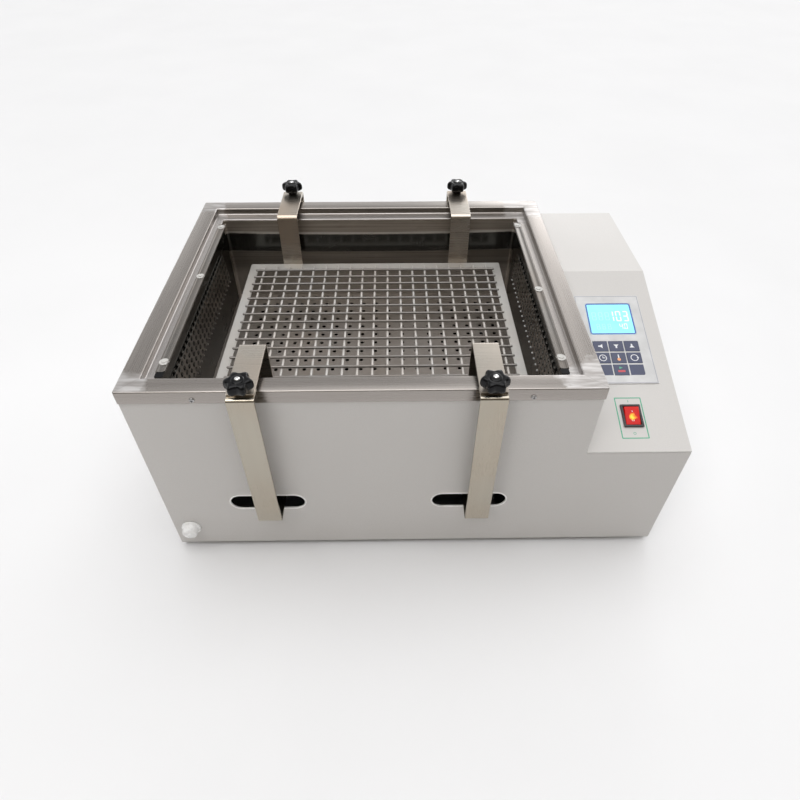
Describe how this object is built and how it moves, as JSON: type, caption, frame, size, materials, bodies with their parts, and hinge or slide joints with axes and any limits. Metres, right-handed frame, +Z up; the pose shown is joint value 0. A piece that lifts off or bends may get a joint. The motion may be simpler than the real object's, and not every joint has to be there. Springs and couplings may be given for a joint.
{
  "type": "shaking water bath",
  "caption": "Bench-top reciprocating water bath: painted casing, stainless tank, wire tray hung on clamped arms and a sloped control box.",
  "frame": {"origin": "on the surface the feet stand on, under the centre of the bounding box", "axes": "+Z up, +X towards the control box, -Y is the front with the drain"},
  "size_m": [0.7014, 0.531, 0.3478],
  "materials": {
    "casing_paint": "fine orange-peel powder coat, warm light grey",
    "stainless": "brushed and polished stainless sheet",
    "wire_steel": "bright drawn stainless wire",
    "drive_steel": "plain machined and zinc-plated steel",
    "aluminium": "milled aluminium",
    "knob_black": "glossy black moulded plastic",
    "black_plastic": "fine-textured black plastic",
    "white_plastic": "white moulded plastic",
    "rubber": "matte black rubber",
    "panel_film": "satin printed film",
    "key_film": "navy printed film",
    "display": "lit cyan display behind clear film",
    "board": "green circuit board",
    "rocker_red": "translucent lit red plastic",
    "heater_metal": "annealed, slightly straw-tinted tube"
  },
  "bodies": {
    "case": {"base_pan": "drive_steel", "front_panel": "casing_paint", "rear_panel": "casing_paint", "left_panel": "casing_paint", "right_panel": "casing_paint", "tank_side_panel": "casing_paint", "control_cover": "casing_paint", "foot_1": "rubber", "foot_2": "rubber", "foot_3": "rubber", "foot_4": "rubber", "rim_frame": "stainless", "tank_tub": "stainless", "lid_rail_left": "stainless", "lid_rail_right": "stainless", "perforated_shelf": "stainless", "heater": "heater_metal", "temp_probe": "heater_metal", "drain_pipe": "white_plastic", "guide_rod_front": "drive_steel", "guide_rod_rear": "drive_steel", "rod_support_left": "drive_steel", "rod_support_right": "drive_steel", "drive_motor": "drive_steel", "motor_bracket": "drive_steel", "control_panel": "panel_film", "lcd_display": "display", "control_board": "board", "switch_bezel": "black_plastic", "power_inlet": "black_plastic", "power_supply": "aluminium"},
    "carriage": {"carriage_plate": "aluminium", "bearing_block_front": "aluminium", "bearing_block_rear": "aluminium", "arm_front_left": "stainless", "arm_front_right": "stainless", "arm_rear_left": "stainless", "arm_rear_right": "stainless"},
    "tray": {"tray_frame": "stainless", "tray_wires_cross": "wire_steel", "tray_wires_long": "wire_steel", "hanger_front_left": "stainless", "hanger_front_right": "stainless", "hanger_rear_left": "stainless", "hanger_rear_right": "stainless"},
    "crank": {"crank_wheel": "drive_steel"},
    "link": {"connecting_rod": "drive_steel"},
    "drain_cap": {"drain_cap": "white_plastic"},
    "rocker": {"switch_rocker": "rocker_red"},
    "knob_front_left": {"knob_front_left": "knob_black"},
    "knob_front_right": {"knob_front_right": "knob_black"},
    "knob_rear_left": {"knob_rear_left": "knob_black"},
    "knob_rear_right": {"knob_rear_right": "knob_black"},
    "key_left": {"key_left": "key_film"},
    "key_down": {"key_down": "key_film"},
    "key_up": {"key_up": "key_film"},
    "key_timer": {"key_timer": "key_film"},
    "key_temperature": {"key_temperature": "key_film"},
    "key_speed": {"key_speed": "key_film"},
    "key_start": {"key_start": "key_film"}
  },
  "joints": [
    {"name": "shake_slide", "type": "slide", "parent": "case", "child": "carriage", "axis": [1, 0, 0], "range_m": [-0.017, 0.0029]},
    {"name": "tray_lift", "type": "slide", "parent": "carriage", "child": "tray", "axis": [0, 0, 1], "range_m": [0, 0.2]},
    {"name": "crank_turn", "type": "hinge", "parent": "case", "child": "crank", "pos_m": [-0.15647, 0, 0.068], "axis": [0, 0, 1], "continuous": true},
    {"name": "link_swing", "type": "hinge", "parent": "carriage", "child": "link", "pos_m": [-0.05968, 0, 0.0875], "axis": [0, 0, 1], "range_deg": [-1.8, 10.8]},
    {"name": "drain_cap_turn", "type": "hinge", "parent": "case", "child": "drain_cap", "pos_m": [-0.32525, -0.2455, 0.049], "axis": [0, -1, 0], "continuous": true},
    {"name": "knob_front_left_turn", "type": "hinge", "parent": "tray", "child": "knob_front_left", "pos_m": [-0.20068, -0.25, 0.338], "axis": [0, 0, 1], "continuous": true},
    {"name": "knob_front_right_turn", "type": "hinge", "parent": "tray", "child": "knob_front_right", "pos_m": [0.08132, -0.25, 0.338], "axis": [0, 0, 1], "continuous": true},
    {"name": "knob_rear_left_turn", "type": "hinge", "parent": "tray", "child": "knob_rear_left", "pos_m": [-0.20068, 0.25, 0.338], "axis": [0, 0, 1], "continuous": true},
    {"name": "knob_rear_right_turn", "type": "hinge", "parent": "tray", "child": "knob_rear_right", "pos_m": [0.08132, 0.25, 0.338], "axis": [0, 0, 1], "continuous": true},
    {"name": "power_rocker", "type": "hinge", "parent": "case", "child": "rocker", "pos_m": [0.28325, -0.18839, 0.21951], "axis": [1, 0, 0], "range_deg": [-20, 0]},
    {"name": "key_left_press", "type": "slide", "parent": "case", "child": "key_left", "axis": [0, -0.3011, 0.9536], "range_m": [-0.0006, 0], "stiffness_N_per_m": 400},
    {"name": "key_down_press", "type": "slide", "parent": "case", "child": "key_down", "axis": [0, -0.3011, 0.9536], "range_m": [-0.0006, 0], "stiffness_N_per_m": 400},
    {"name": "key_up_press", "type": "slide", "parent": "case", "child": "key_up", "axis": [0, -0.3011, 0.9536], "range_m": [-0.0006, 0], "stiffness_N_per_m": 400},
    {"name": "key_timer_press", "type": "slide", "parent": "case", "child": "key_timer", "axis": [0, -0.3011, 0.9536], "range_m": [-0.0006, 0], "stiffness_N_per_m": 400},
    {"name": "key_temperature_press", "type": "slide", "parent": "case", "child": "key_temperature", "axis": [0, -0.3011, 0.9536], "range_m": [-0.0006, 0], "stiffness_N_per_m": 400},
    {"name": "key_speed_press", "type": "slide", "parent": "case", "child": "key_speed", "axis": [0, -0.3011, 0.9536], "range_m": [-0.0006, 0], "stiffness_N_per_m": 400},
    {"name": "key_start_press", "type": "slide", "parent": "case", "child": "key_start", "axis": [0, -0.3011, 0.9536], "range_m": [-0.0006, 0], "stiffness_N_per_m": 400}
  ]
}
